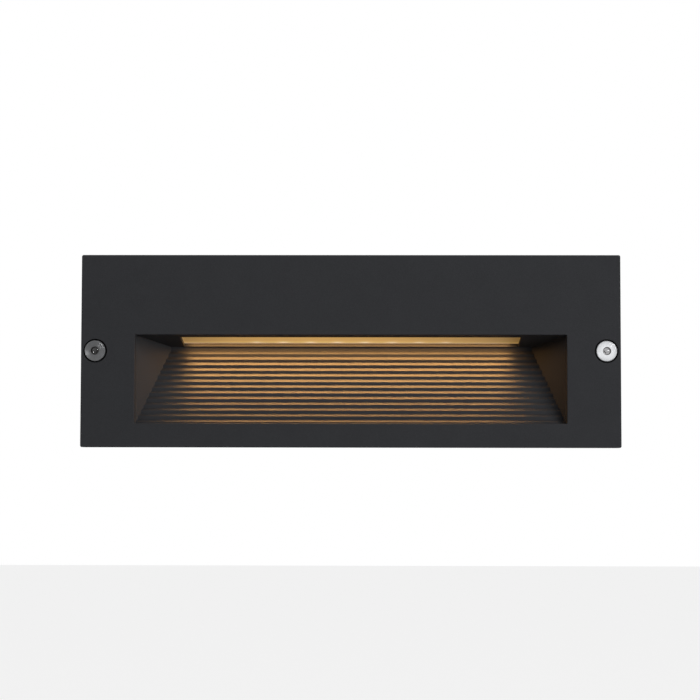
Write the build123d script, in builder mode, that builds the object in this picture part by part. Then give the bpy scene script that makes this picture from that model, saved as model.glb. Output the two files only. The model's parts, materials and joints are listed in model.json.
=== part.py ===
from build123d import *
import os
from math import atan2, cos, radians, sin, sqrt, tan

# A recessed LED step light. +X is to the right, +Y goes into the wall, +Z is up.
# The origin is the centre of the wall-fixing pattern, in the rear face of the housing's flange.
# All sizes are in millimetres.

# ---- Faceplate -------------------------------------------------------------------------------
plate_width = 245.0
plate_height = 87.5
plate_skin = 5.0
plate_corner_r = 0.8
plate_edge_r = 0.5
skirt_wall = 2.3
skirt_stop = 0.4          # from the skirt's rear edge to the wall
side_margin = 24.5        # from the plate's ends to the light opening
bottom_margin = 10.9      # from the plate's lower edge to the light opening
top_margin = 36.4         # above the light opening, where the light engine is
opening_corner_r = 0.5
opening_edge_r = 0.4

# ---- Face screws -----------------------------------------------------------------------------
face_screw_inset = 6.5    # from the plate's ends to the screw's axis
face_screw_r = 2.5
face_screw_length = 16.0
face_head_r = 4.7
face_head_height = 2.75
face_crown_r = 10.2       # the head's front is part of a sphere
face_flat_r = 2.25        # flat round the socket
face_rim = 0.3            # chamfer round the crown
face_screw_tip = 0.5      # chamfer
face_socket_across = 3.0
face_socket_depth = 1.6
counterbore_r = 5.4
counterbore_depth = 2.4
washer_r = 5.2
washer_thickness = 1.0

# ---- Housing ---------------------------------------------------------------------------------
flange_thickness = 3.0
plate_gasket_thickness = 1.5
flange_corner_r = 1.5
box_wall = 2.5
box_corner_r = 5.0
box_edge_r = 2.0
boss_r = 4.2
boss_depth = 13.0
boss_floor = 1.5
blind_floor = 1.0         # back wall left under the posts' blind holes
fixing_inset = 7.6        # from the plate's ends to the wall-fixing holes
fixing_rise = 30.0        # above and below the middle
fixing_hole_r = 2.25
fixing_head_r = 4.4
fixing_pocket_depth = 1.6

# ---- Light well ------------------------------------------------------------------------------
well_depth = 23.0         # behind the plate's skin
cheek_taper = 13.6        # how far each cheek leans in over the well's depth
ceiling_drop = 3.9        # how far the ceiling falls over the well's depth
rib_count = 13
tread_share = 0.483       # of each rib's rise, the rest is the riser
first_riser = 0.65
last_riser = 2.07
nose_r = 0.35
well_wall = 2.0
well_flange_thickness = 2.0
well_rim = 2.1            # flange below the light opening
well_ear = 8.0            # flange beside the light opening
well_crown = 11.0         # flange above the light opening
ceiling_thickness = 3.0
ceiling_length = 26.5
bead_width = 1.2
bead_depth = 0.8
bead_margin = 0.5
well_screw_bite = 3.6     # thread in the plate
well_screw_step = 0.3     # outwards from the ear's middle
well_screw_low = 7.0      # above the flange's lower edge
well_screw_middle = 5.0   # above the opening's middle
well_screw_high = 3.6     # below the flange's upper edge

# ---- Lens and light engine, stacked upwards from the ceiling ------------------------------------
window_margin = 6.25      # from the well's rear corners to the window
window_start = 3.55       # along the ceiling, from the plate
window_length = 18.75
lens_lap = 1.6            # front and back
lens_end_lap = 3.5
lens_corner_r = 1.0
lens_thickness = 3.0
lens_seat = 1.5           # ceiling left under the lens gasket
lens_gasket_thickness = 0.5
chamber_height = 6.0
chamber_flare = 1.6       # how much the chamber narrows towards the board
chamber_ear = 5.0         # past the screw's axis
chamber_ear_r = 1.5
board_thickness = 1.6
pad_thickness = 0.5
pad_inset = 3.0           # inside the board's edges
sink_base = 3.0
sink_height = 11.3
sink_length = 23.0
fin_count = 6
fin_thickness = 1.5
engine_screw_reach = 6.3  # past the lens end, along X
engine_screw_spread = 15.0
engine_ear = 4.5
engine_boss_r = 3.9
engine_hole_floor = 0.6   # ceiling left under the screw's hole
engine_screw_end = 1.0    # ceiling left under the screw's tip
led_count = 8
led_pitch = 12.7
led_length = 3.5
led_width = 2.8
led_height = 0.7

# ---- Leads and plug --------------------------------------------------------------------------
bend_share = 0.45         # of the shorter run beside a lead's corner
led_lead_r = 0.8
led_lead_spread = 3.2
notch_width = 10.0
notch_start = 16.0        # along the ceiling, from the plate
lead_landing = 18.5       # where the leads are soldered, along the ceiling
lead_setback = 0.6        # behind the plug's middle
plug_inset = 10.0         # from the driver's right end to the plug's middle
plug_gap = 4.5            # from the light well's back to the plug
plug_width = 11.0
plug_height = 9.0
plug_length = 6.8
plug_corner_r = 0.6
nose_width = 9.0
nose_height = 6.0
nose_length = 5.0
socket_wall = 2.35
socket_length = 6.0
pin_r = 0.6
pin_spread = 4.0

# ---- Driver ----------------------------------------------------------------------------------
driver_width = 116.0
driver_end_gap = 9.9      # to the right locknut's corner
driver_height = 34.0
driver_depth = 21.0
driver_corner_r = 3.0
driver_edge_r = 1.5
driver_floor_gap = 1.5
driver_ear = 9.0          # level with the case's lower edge
driver_ear_thickness = 2.5
post_r = 4.5
post_height = 2.5

# ---- Terminal block and earth ----------------------------------------------------------------
block_inset = 23.5        # from the housing's left end to the block's middle
block_top_gap = 1.5       # under the housing's upper wall
block_width = 18.0
block_depth = 16.0
block_chamfer = 1.5
block_end = 1.0           # past the outer poles
wiring_depth = 6.0        # leads in front of the posts
pole_pitch = 8.0
pole_count = 3
terminal_well_r = 2.3
terminal_well_depth = 6.0
terminal_spread = 9.0
terminal_slot = 0.8
lead_r = 0.9
lead_entry_r = 1.3
lead_entry_depth = 4.0
lead_spread = 8.0
supply_inset = 8.0        # from the driver's left end
earth_reach = 23.0        # from the block to the earth post
lug_thickness = 0.8
lug_r = 4.0
lug_barrel_r = 1.7
lug_barrel_length = 7.0

# ---- Cable entries ---------------------------------------------------------------------------
entry_inset = 19.5        # from the housing's ends
entry_rise = 21.5         # above the housing's floor
entry_r = 8.0
entry_play = 0.15
entry_reach = 8.0         # thread inside the back wall
entry_washer_r = 11.0
entry_washer_thickness = 1.5
locknut_across = 21.0
locknut_thickness = 3.0
gland_across = 20.0
gland_hex_length = 6.0
gland_thread_length = 9.0
gland_bore_r = 6.0
cable_bore_r = 3.6
seal_length = 8.0
gland_nut_length = 15.0
gland_nut_gap = 1.0
gland_nut_skirt = 7.5      # hex part of the nut, the rest is the dome
gland_dome_r = 9.6
gland_dome_end_r = 6.0
gland_dome_bulge = 0.9
gland_mouth_r = 4.6
cable_play = 0.6
entry_plug_head = 4.0
entry_plug_head_r = 10.5
entry_plug_drive = 8.0
entry_plug_drive_depth = 3.0
entry_plug_chamfer = 0.8
entry_plug_wall = 2.0

# ---- Small screws ----------------------------------------------------------------------------
m3_r = 1.5
m3_head_r = 2.6
m3_head_height = 1.8
m3_drive = 2.0
m4_r = 1.95
m4_head_r = 3.6
m4_head_height = 2.4
m4_drive = 2.5
small_screw_bite = 3.5    # thread in the housing's posts

# ---- Clearances ------------------------------------------------------------------------------
screw_play = 0.05         # round a screw in its thread
hole_play = 0.25          # round a screw in a plain hole
skirt_play = 0.6          # skirt to flange
insert_play = 1.5         # well to the housing's ends
insert_rise_play = 0.55   # well to the housing's floor
drop_in_play = 0.3        # lens in its rebate
plug_play = 0.15          # plug in its socket
sheet_play = 0.2          # between parts that pass close by

# ---- Planes and places worked out from the sizes above ---------------------------------------
plate_back = -(flange_thickness + plate_gasket_thickness)
plate_front = plate_back - plate_skin
half_w = plate_width / 2
half_h = plate_height / 2

opening_height = plate_height - bottom_margin - top_margin
opening_width = plate_width - 2 * side_margin
mouth_half = opening_width / 2
mouth_bottom = bottom_margin - half_h
mouth_top = mouth_bottom + opening_height
mouth_mid = (mouth_bottom + mouth_top) / 2

screw_x = half_w - face_screw_inset
fixing_x = half_w - fixing_inset
screw_places = [(-screw_x, 0), (screw_x, 0)]
fixing_places = [(x, z) for x in (-fixing_x, fixing_x) for z in (-fixing_rise, fixing_rise)]

flange_half_w = half_w - skirt_wall - skirt_play
flange_half_h = half_h - skirt_wall - skirt_play
inner_half_w = mouth_half + well_ear + insert_play
inner_half_h = well_rim + insert_rise_play - mouth_bottom
box_half_w = inner_half_w + box_wall
box_half_h = inner_half_h + box_wall

# The housing's depth: the well, the plug, its socket and the driver lie one behind the other.
well_back = plate_back + well_depth
plug_front = well_back + plug_gap
plug_back = plug_front + plug_length
socket_front = plug_back + sheet_play
driver_front = socket_front + socket_length
driver_back = driver_front + driver_depth
back_inside = driver_back + post_height
box_depth = back_inside + box_wall

# What lies on the housing's back wall, from its ends, floor and upper wall.
entry_x = inner_half_w - entry_inset
entry_z = entry_rise - inner_half_h
entry_places = [(-entry_x, entry_z), (entry_x, entry_z)]
locknut_corner = locknut_across / 2 / cos(radians(30))
driver_right = entry_x - locknut_corner - driver_end_gap
driver_left = driver_right - driver_width
driver_x = (driver_left + driver_right) / 2
driver_bottom = driver_floor_gap - inner_half_h
driver_z = driver_bottom + driver_height / 2
driver_top = driver_bottom + driver_height
ear_x = [driver_left - driver_ear / 2, driver_right + driver_ear / 2]
ear_z = driver_bottom + post_r
driver_posts = [(x, ear_z) for x in ear_x]
plug_x = driver_right - plug_inset
plug_z = driver_z
block_height = pole_count * pole_pitch + 2 * block_end
block_x = block_inset - inner_half_w
block_z = inner_half_h - block_top_gap - block_height / 2
block_right = block_x + block_width / 2
block_posts = [(block_x, block_z + z) for z in (-pole_pitch / 2, pole_pitch / 2)]
pole_levels = [block_z + pole_pitch * (pole - (pole_count - 1) / 2) for pole in range(pole_count)]
earth_x = block_right + earth_reach
earth_place = (earth_x, pole_levels[-1])
wiring_y = driver_back - wiring_depth
lug_back = wiring_y + lug_barrel_r
lug_front = lug_back - lug_thickness

well_flange_back = plate_back + well_flange_thickness
back_half = mouth_half - cheek_taper
bead_inner = (opening_width + 2 * bead_margin, opening_height + 2 * bead_margin)
bead_outer = (bead_inner[0] + 2 * bead_width, bead_inner[1] + 2 * bead_width)
back_top = mouth_top - ceiling_drop
rib_run = well_depth / rib_count
rib_rise = (back_top - mouth_bottom - first_riser - last_riser) / (rib_count - 1 + tread_share)
tread_rise = tread_share * rib_rise
ramp_start = mouth_bottom + first_riser

well_screw_x = mouth_half + well_ear / 2 + well_screw_step
well_flange_low = mouth_bottom - well_rim
well_flange_high = mouth_top + well_crown
well_screw_rows = [
    well_flange_low + well_screw_low,
    mouth_mid + well_screw_middle,
    well_flange_high - well_screw_high,
]
well_screw_places = [(x, z) for x in (-well_screw_x, well_screw_x) for z in well_screw_rows]

# The ceiling's own plane: X along the light, Y back along the ceiling, Z upwards from it.
ceiling_tilt = atan2(ceiling_drop, well_depth)
ceiling = Plane(
    origin=(0, plate_back, mouth_top),
    x_dir=(1, 0, 0),
    z_dir=(0, sin(ceiling_tilt), cos(ceiling_tilt)),
)
window_width = 2 * (back_half - window_margin)
window_mid = window_start + window_length / 2
lens_width = window_width + 2 * lens_end_lap
lens_length = window_length + 2 * lens_lap
lens_level = lens_seat + lens_gasket_thickness
chamber_level = lens_level + lens_thickness
board_level = chamber_level + chamber_height
pad_level = board_level + board_thickness
sink_level = pad_level + pad_thickness
engine_x = lens_width / 2 + engine_screw_reach
engine_rows = [window_mid - engine_screw_spread / 2, window_mid + engine_screw_spread / 2]
engine_places = [(x, row) for x in (-engine_x, engine_x) for row in engine_rows]
sink_half_w = engine_x + engine_ear

# Front view planes: a sketch on one of these has X to the right and Y upwards, and faces the viewer.
def front_plane(y):
    return Plane(origin=(0, y, 0), x_dir=(1, 0, 0), z_dir=(0, -1, 0))


def in_front(points):
    """Locations for a list of (x, z) points on a front plane."""
    return Locations(*[(x, z) for x, z in points])


def screw_set(seat, places, head_r, head_height, shank_r, length, drive_across):
    """Cap screws with a hex recess: heads rise from the seat plane, shanks go down from it."""
    with BuildPart() as screws:
        with BuildSketch(seat):
            with Locations(*places):
                Circle(head_r)
        extrude(amount=head_height)
        with BuildSketch(seat):
            with Locations(*places):
                Circle(shank_r)
        extrude(amount=-length)
        with BuildSketch(seat.offset(head_height)):
            with Locations(*places):
                RegularPolygon(drive_across / 2, 6, major_radius=False)
        extrude(amount=-head_height / 2, mode=Mode.SUBTRACT)
    return screws.part


def crown(radius):
    """Where the face screw's domed front lies at a radius, measured back from its seat."""
    flat_sag = sqrt(face_crown_r**2 - face_flat_r**2)
    return flat_sag - sqrt(face_crown_r**2 - radius**2) - face_head_height


def lead(points, radius):
    """A round lead along straight runs, with tangent arcs as large as the runs allow."""
    radii = []
    for before, corner, after in zip(points, points[1:], points[2:]):
        run_in = Vector(*corner) - Vector(*before)
        run_out = Vector(*after) - Vector(*corner)
        half_turn = radians(run_in.get_angle(run_out) / 2)
        shorter = min(run_in.length, run_out.length)
        radii.append(bend_share * shorter / tan(half_turn))
    print("lead arc radii", [round(r, 2) for r in radii])
    with BuildPart() as tube:
        with BuildLine() as route:
            if radii:
                FilletPolyline(*points, radius=radii)
            else:
                Line(*points)
        with BuildSketch(Plane(origin=route.line @ 0, z_dir=route.line % 0)):
            Circle(radius)
        sweep()
    return tube.part


def save(part, name):
    part.label = name
    export_step(part, f"parts/{name}.step")


os.makedirs("parts", exist_ok=True)

# ---- Faceplate: a skin with a skirt that wraps the housing's flange ----------------------------
with BuildPart() as faceplate:
    with BuildSketch(front_plane(-skirt_stop)):
        RectangleRounded(plate_width, plate_height, plate_corner_r)
    extrude(amount=-skirt_stop - plate_front)
    fillet(faceplate.faces().sort_by(Axis.Y)[0].edges(), plate_edge_r)
    with BuildSketch(front_plane(-skirt_stop)):
        RectangleRounded(plate_width - 2 * skirt_wall, plate_height - 2 * skirt_wall, flange_corner_r)
    extrude(amount=-skirt_stop - plate_back, mode=Mode.SUBTRACT)
    with BuildSketch(front_plane(plate_back)):
        with Locations((0, mouth_mid)):
            RectangleRounded(opening_width, opening_height, opening_corner_r)
    extrude(amount=plate_skin, mode=Mode.SUBTRACT)
    front_face = faceplate.faces().sort_by(Axis.Y)[0]
    fillet(front_face.inner_wires()[0].edges(), opening_edge_r)
    with BuildSketch(front_plane(plate_back)):
        with in_front(screw_places):
            Circle(face_screw_r + hole_play)
    extrude(amount=plate_skin, mode=Mode.SUBTRACT)
    with BuildSketch(front_plane(plate_front)):
        with in_front(screw_places):
            Circle(counterbore_r)
    extrude(amount=-counterbore_depth, mode=Mode.SUBTRACT)
    with BuildSketch(front_plane(plate_back)):
        with in_front(fixing_places):
            Circle(fixing_head_r)
    extrude(amount=fixing_pocket_depth, mode=Mode.SUBTRACT)
    with BuildSketch(front_plane(plate_back)):
        with in_front(well_screw_places):
            Circle(m3_r + screw_play)
    extrude(amount=well_screw_bite + hole_play, mode=Mode.SUBTRACT)
save(faceplate.part, "faceplate")

# ---- Face screws and the sealing washers under their heads -------------------------------------
washer_seat = plate_front + counterbore_depth
head_seat = washer_seat - washer_thickness
crown_end_r = face_head_r - face_rim
crown_mid_r = (crown_end_r + face_flat_r) / 2
for side, x in (("left", -screw_x), ("right", screw_x)):
    with BuildPart() as washer:
        with BuildSketch(front_plane(washer_seat)):
            with Locations((x, 0)):
                Circle(washer_r)
                Circle(face_screw_r + hole_play, mode=Mode.SUBTRACT)
        extrude(amount=washer_thickness)
    save(washer.part, f"{side}_sealing_washer")

    # A low domed head with a chamfered rim, on its seat, over a plain shank.
    with BuildPart() as face_screw:
        with BuildSketch(Plane(origin=(x, head_seat, 0), x_dir=(1, 0, 0), z_dir=(0, 0, 1))):
            with BuildLine():
                Polyline(
                    (0, face_screw_length),
                    (face_screw_r - face_screw_tip, face_screw_length),
                    (face_screw_r, face_screw_length - face_screw_tip),
                    (face_screw_r, 0),
                    (face_head_r, 0),
                    (face_head_r, crown(face_head_r) + face_rim / 2),
                    (crown_end_r, crown(crown_end_r)),
                )
                ThreePointArc(*[(r, crown(r)) for r in (crown_end_r, crown_mid_r, face_flat_r)])
                Polyline((face_flat_r, crown(face_flat_r)), (0, crown(face_flat_r)), (0, face_screw_length))
            make_face()
        revolve(axis=Axis((x, head_seat, 0), (0, 1, 0)))
        with BuildSketch(front_plane(head_seat - face_head_height)):
            with Locations((x, 0)):
                RegularPolygon(face_socket_across / 2, 6, major_radius=False)
        extrude(amount=-face_socket_depth, mode=Mode.SUBTRACT)
    save(face_screw.part, f"{side}_face_screw")

# ---- Plate gasket: lies on the housing's flange, with holes round every screw --------------------
with BuildPart() as plate_gasket:
    with BuildSketch(front_plane(-flange_thickness)):
        RectangleRounded(2 * flange_half_w - sheet_play, 2 * flange_half_h - sheet_play, flange_corner_r)
        RectangleRounded(2 * inner_half_w, 2 * inner_half_h, flange_corner_r, mode=Mode.SUBTRACT)
        with in_front(screw_places):
            Circle(face_screw_r + hole_play, mode=Mode.SUBTRACT)
        with in_front(fixing_places):
            Circle(fixing_head_r, mode=Mode.SUBTRACT)
    extrude(amount=plate_gasket_thickness)
save(plate_gasket.part, "plate_gasket")

# ---- Light well ----------------------------------------------------------------------------------
ramp_slope = rib_rise / rib_run
ceiling_slope = ceiling_drop / well_depth
cheek_slope = cheek_taper / well_depth

# The hollow, as seen from the side: a straight ceiling above a flight of ribs.
profile = [(plate_back, mouth_bottom)]
corner_radii = []
for rib in range(rib_count):
    foot = (plate_back + rib * rib_run, ramp_start + rib * rib_rise)
    crest = (foot[0] + rib_run, foot[1] + tread_rise)
    profile += [foot, crest]
    corner_radii += [nose_r, 0]
profile += [(well_back, back_top), (plate_back, mouth_top), (plate_back, mouth_bottom)]

with BuildPart() as hollow:
    with BuildSketch(Plane.YZ):
        with BuildLine():
            FilletPolyline(*profile[:-2], radius=corner_radii)
            Polyline(*profile[-3:])
        make_face()
    extrude(amount=mouth_half, both=True)
    with BuildSketch(Plane.XY.offset(mouth_bottom)):
        with BuildLine():
            Polyline(
                (-mouth_half, plate_back),
                (mouth_half, plate_back),
                (back_half, well_back),
                (-back_half, well_back),
                close=True,
            )
        make_face()
    extrude(amount=opening_height, mode=Mode.INTERSECT)

# The outside follows the hollow one wall further out.
ramp_angle = atan2(rib_rise, rib_run)
shell_start = well_flange_back
deep_y = plate_back + rib_run + well_wall * sin(ramp_angle)
deep_z = ramp_start + tread_rise - well_wall * cos(ramp_angle)
shell_low = deep_z + (shell_start - deep_y) * ramp_slope
shell_high = mouth_top - (shell_start - plate_back) * ceiling_slope
shell_end = shell_start + (shell_high - shell_low) / (ramp_slope + ceiling_slope)
shell_tip = shell_low + (shell_end - shell_start) * ramp_slope
cheek_wall = well_wall / cos(atan2(cheek_taper, well_depth))
shell_half = mouth_half + cheek_wall - (shell_start - plate_back) * cheek_slope
shell_end_half = mouth_half + cheek_wall - (shell_end - plate_back) * cheek_slope

with BuildPart() as light_well:
    with BuildSketch(Plane.YZ):
        with BuildLine():
            Polyline((shell_start, shell_low), (shell_end, shell_tip), (shell_start, shell_high), close=True)
        make_face()
    extrude(amount=shell_half, both=True)
    with BuildSketch(Plane.XY.offset(shell_low)):
        with BuildLine():
            Polyline(
                (-shell_half, shell_start),
                (shell_half, shell_start),
                (shell_end_half, shell_end),
                (-shell_end_half, shell_end),
                close=True,
            )
        make_face()
    extrude(amount=shell_high - shell_low, mode=Mode.INTERSECT)
    with BuildSketch(ceiling):
        with Locations((0, ceiling_length / 2)):
            Rectangle(2 * (mouth_half + cheek_wall), ceiling_length)
    extrude(amount=ceiling_thickness)
    with BuildSketch(ceiling.offset(ceiling_thickness)):
        with Locations(*engine_places):
            Circle(engine_boss_r)
    extrude(amount=chamber_level - ceiling_thickness)
    with BuildSketch(front_plane(well_flange_back)):
        with Locations((0, (well_flange_low + well_flange_high) / 2)):
            RectangleRounded(2 * (mouth_half + well_ear), well_flange_high - well_flange_low, flange_corner_r)
    extrude(amount=well_flange_thickness)
    add(hollow.part, mode=Mode.SUBTRACT)
    with BuildSketch(ceiling):
        with Locations((0, window_mid)):
            Rectangle(window_width, window_length)
    extrude(amount=ceiling_thickness, mode=Mode.SUBTRACT)
    with BuildSketch(ceiling.offset(lens_seat)):
        with Locations((0, window_mid)):
            Rectangle(lens_width + 2 * drop_in_play, lens_length + 2 * drop_in_play)
    extrude(amount=ceiling_thickness - lens_seat, mode=Mode.SUBTRACT)
    with BuildSketch(ceiling.offset(chamber_level)):
        with Locations(*engine_places):
            Circle(m3_r + screw_play)
    extrude(amount=engine_hole_floor - chamber_level, mode=Mode.SUBTRACT)
    with BuildSketch(front_plane(plate_back)):
        with in_front(well_screw_places):
            Circle(m3_r + hole_play)
    extrude(amount=-well_flange_thickness, mode=Mode.SUBTRACT)
    with BuildSketch(front_plane(plate_back)):
        with Locations((0, mouth_mid)):
            Rectangle(*bead_outer)
            Rectangle(*bead_inner, mode=Mode.SUBTRACT)
    extrude(amount=-bead_depth, mode=Mode.SUBTRACT)
save(light_well.part, "light_well")

with BuildPart() as well_seal:
    with BuildSketch(front_plane(plate_back)):
        with Locations((0, mouth_mid)):
            Rectangle(*bead_outer)
            Rectangle(*bead_inner, mode=Mode.SUBTRACT)
    extrude(amount=-bead_depth)
save(well_seal.part, "well_seal")

save(
    screw_set(
        Plane(origin=(0, well_flange_back, 0), x_dir=(-1, 0, 0), z_dir=(0, 1, 0)),
        well_screw_places,
        m3_head_r,
        m3_head_height,
        m3_r,
        well_flange_thickness + well_screw_bite,
        m3_drive,
    ),
    "well_screws",
)

# ---- Lens, its gasket and the chamber that holds it down -----------------------------------------
with BuildPart() as lens_gasket:
    with BuildSketch(ceiling.offset(lens_seat)):
        with Locations((0, window_mid)):
            Rectangle(lens_width, lens_length)
            Rectangle(window_width + drop_in_play, window_length + drop_in_play, mode=Mode.SUBTRACT)
    extrude(amount=lens_gasket_thickness)
save(lens_gasket.part, "lens_gasket")

with BuildPart() as lens:
    with BuildSketch(ceiling.offset(lens_level)):
        with Locations((0, window_mid)):
            RectangleRounded(lens_width, lens_length, lens_corner_r)
    extrude(amount=lens_thickness)
save(lens.part, "lens")

chamber_ear_x = (engine_x + chamber_ear + window_width / 2) / 2
with BuildPart() as light_chamber:
    with BuildSketch(ceiling.offset(chamber_level)):
        with Locations((0, window_mid)):
            RectangleRounded(lens_width, lens_length, lens_corner_r)
    extrude(amount=chamber_height)
    with BuildSketch(ceiling.offset(chamber_level)):
        with Locations(*[(x, window_mid) for x in (-chamber_ear_x, chamber_ear_x)]):
            RectangleRounded(engine_x + chamber_ear - window_width / 2, lens_length, chamber_ear_r)
    extrude(amount=sink_level - chamber_level)
    with BuildSketch(ceiling.offset(chamber_level)):
        with Locations((0, window_mid)):
            Rectangle(window_width, window_length)
    with BuildSketch(ceiling.offset(board_level)):
        with Locations((0, window_mid)):
            Rectangle(window_width - chamber_flare, window_length - chamber_flare)
    loft(mode=Mode.SUBTRACT)
    with BuildSketch(ceiling.offset(board_level)):
        with Locations((0, window_mid)):
            Rectangle(lens_width + drop_in_play, lens_length + drop_in_play)
    extrude(amount=sink_level - board_level, mode=Mode.SUBTRACT)
    with BuildSketch(ceiling.offset(chamber_level)):
        with Locations(*engine_places):
            Circle(m3_r + hole_play)
    extrude(amount=sink_level - chamber_level, mode=Mode.SUBTRACT)
save(light_chamber.part, "light_chamber")

# ---- LED board, chips, thermal pad and heat sink -------------------------------------------------
with BuildPart() as led_board:
    with BuildSketch(ceiling.offset(board_level)):
        with Locations((0, window_mid)):
            RectangleRounded(lens_width, lens_length, lens_corner_r)
    extrude(amount=board_thickness)
save(led_board.part, "led_board")

with BuildPart() as led_chips:
    with BuildSketch(ceiling.offset(board_level)):
        with Locations((0, window_mid)):
            with GridLocations(led_pitch, 0, led_count, 1):
                Rectangle(led_length, led_width)
    extrude(amount=-led_height)
save(led_chips.part, "led_chips")

# The leads reach the board through a notch in the pad and the heat sink's rear edge.
notch_length = ceiling_length + sink_length
with BuildPart() as thermal_pad:
    with BuildSketch(ceiling.offset(pad_level)):
        with Locations((0, window_mid)):
            Rectangle(lens_width - 2 * pad_inset, lens_length - 2 * pad_inset)
        with Locations((plug_x, notch_start + notch_length / 2)):
            Rectangle(notch_width, notch_length, mode=Mode.SUBTRACT)
    extrude(amount=pad_thickness)
save(thermal_pad.part, "thermal_pad")

fin_pitch = (sink_length - fin_thickness) / (fin_count - 1)
with BuildPart() as heat_sink:
    with BuildSketch(ceiling.offset(sink_level)):
        with Locations((0, window_mid)):
            RectangleRounded(2 * sink_half_w, sink_length, lens_corner_r)
    extrude(amount=sink_base)
    with BuildSketch(ceiling.offset(sink_level + sink_base)):
        with Locations((0, window_mid)):
            with GridLocations(0, fin_pitch, 1, fin_count):
                Rectangle(lens_width, fin_thickness)
    extrude(amount=sink_height - sink_base)
    with BuildSketch(ceiling.offset(sink_level)):
        with Locations((plug_x, notch_start + notch_length / 2)):
            Rectangle(notch_width, notch_length)
        with Locations(*engine_places):
            Circle(m3_r + hole_play)
    extrude(amount=sink_height, mode=Mode.SUBTRACT)
save(heat_sink.part, "heat_sink")

save(
    screw_set(
        ceiling.offset(sink_level + sink_base),
        engine_places,
        m3_head_r,
        m3_head_height,
        m3_r,
        sink_level + sink_base - engine_screw_end,
        m3_drive,
    ),
    "engine_screws",
)

# ---- LED leads and the right-angle plug they end in ----------------------------------------------
plug_top = plug_z + plug_height / 2
lead_drop_y = plug_front + plug_length / 2 + lead_setback
lead_level = pad_level + led_lead_r
lead_start = ceiling.from_local_coords(Vector(0, lead_landing, lead_level))
lead_fall = (lead_drop_y - lead_start.Y) * ceiling_slope
led_lead_parts = [
    lead(
        [
            (x, lead_start.Y, lead_start.Z),
            (x, lead_drop_y, lead_start.Z - lead_fall),
            (x, lead_drop_y, plug_top),
        ],
        led_lead_r,
    )
    for x in (plug_x - led_lead_spread / 2, plug_x + led_lead_spread / 2)
]
save(Compound(children=led_lead_parts), "led_leads")

with BuildPart() as lead_plug:
    with BuildSketch(front_plane(plug_back)):
        with Locations((plug_x, plug_z)):
            RectangleRounded(plug_width, plug_height, plug_corner_r)
    extrude(amount=plug_length)
    with BuildSketch(front_plane(plug_back)):
        with Locations((plug_x, plug_z)):
            RectangleRounded(nose_width, nose_height, plug_corner_r)
    extrude(amount=-nose_length)
    with BuildSketch(front_plane(plug_back + nose_length)):
        with Locations((plug_x, plug_z)):
            with GridLocations(pin_spread, 0, 2, 1):
                Circle(pin_r + plug_play)
    extrude(amount=nose_length, mode=Mode.SUBTRACT)
save(lead_plug.part, "lead_plug")

# ---- Housing -------------------------------------------------------------------------------------
with BuildPart() as housing:
    with BuildSketch(front_plane(box_depth)):
        RectangleRounded(2 * box_half_w, 2 * box_half_h, box_corner_r)
    extrude(amount=box_depth)
    fillet(housing.faces().sort_by(Axis.Y)[-1].edges(), box_edge_r)
    with BuildSketch(front_plane(0)):
        RectangleRounded(2 * flange_half_w, 2 * flange_half_h, flange_corner_r)
    extrude(amount=flange_thickness)
    with BuildSketch(front_plane(0)):
        with in_front(screw_places):
            Circle(boss_r)
        with in_front([(x * (box_half_w + screw_x) / 2 / screw_x, z) for x, z in screw_places]):
            Rectangle(screw_x - box_half_w + box_wall, 2 * boss_r)
    extrude(amount=-boss_depth)
    with BuildSketch(front_plane(-flange_thickness)):
        RectangleRounded(2 * inner_half_w, 2 * inner_half_h, box_corner_r - box_wall)
    extrude(amount=-(flange_thickness + back_inside), mode=Mode.SUBTRACT)
    with BuildSketch(front_plane(back_inside)):
        with in_front(driver_posts + block_posts):
            Circle(post_r)
    extrude(amount=post_height)
    with BuildSketch(front_plane(back_inside)):
        with in_front([earth_place]):
            Circle(post_r)
    extrude(amount=back_inside - lug_back)
    with BuildSketch(front_plane(-flange_thickness)):
        with in_front(screw_places):
            Circle(face_screw_r + screw_play)
    extrude(amount=-(flange_thickness + boss_depth - boss_floor), mode=Mode.SUBTRACT)
    with BuildSketch(front_plane(-flange_thickness)):
        with in_front(fixing_places):
            Circle(fixing_hole_r)
    extrude(amount=-flange_thickness, mode=Mode.SUBTRACT)
    with BuildSketch(front_plane(box_depth)):
        with in_front(entry_places):
            Circle(entry_r + entry_play)
    extrude(amount=box_wall, mode=Mode.SUBTRACT)
    with BuildSketch(front_plane(box_depth - blind_floor)):
        with in_front(driver_posts):
            Circle(m4_r + screw_play)
        with in_front(block_posts):
            Circle(m3_r + screw_play)
    extrude(amount=box_wall + post_height - blind_floor, mode=Mode.SUBTRACT)
    with BuildSketch(front_plane(box_depth - blind_floor)):
        with in_front([earth_place]):
            Circle(m4_r + screw_play)
    extrude(amount=box_depth - blind_floor - lug_back, mode=Mode.SUBTRACT)
save(housing.part, "housing")

# ---- Driver: potted case with two ears, and the socket on its front ------------------------------
with BuildPart() as driver:
    with BuildSketch(front_plane(driver_back)):
        with Locations((driver_x, driver_z)):
            RectangleRounded(driver_width, driver_height, driver_corner_r)
    extrude(amount=driver_depth)
    fillet(driver.faces().sort_by(Axis.Y)[0].edges(), driver_edge_r)
    with BuildSketch(front_plane(driver_back)):
        with Locations((driver_x, ear_z)):
            RectangleRounded(driver_width + 2 * driver_ear, 2 * post_r, driver_corner_r)
    extrude(amount=driver_ear_thickness)
    with BuildSketch(front_plane(driver_back)):
        with in_front(driver_posts):
            Circle(m4_r + hole_play)
    extrude(amount=driver_ear_thickness, mode=Mode.SUBTRACT)
save(driver.part, "driver")

save(
    screw_set(
        front_plane(driver_back - driver_ear_thickness),
        driver_posts,
        m4_head_r,
        m4_head_height,
        m4_r,
        driver_ear_thickness + small_screw_bite,
        m4_drive,
    ),
    "driver_screws",
)

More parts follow.
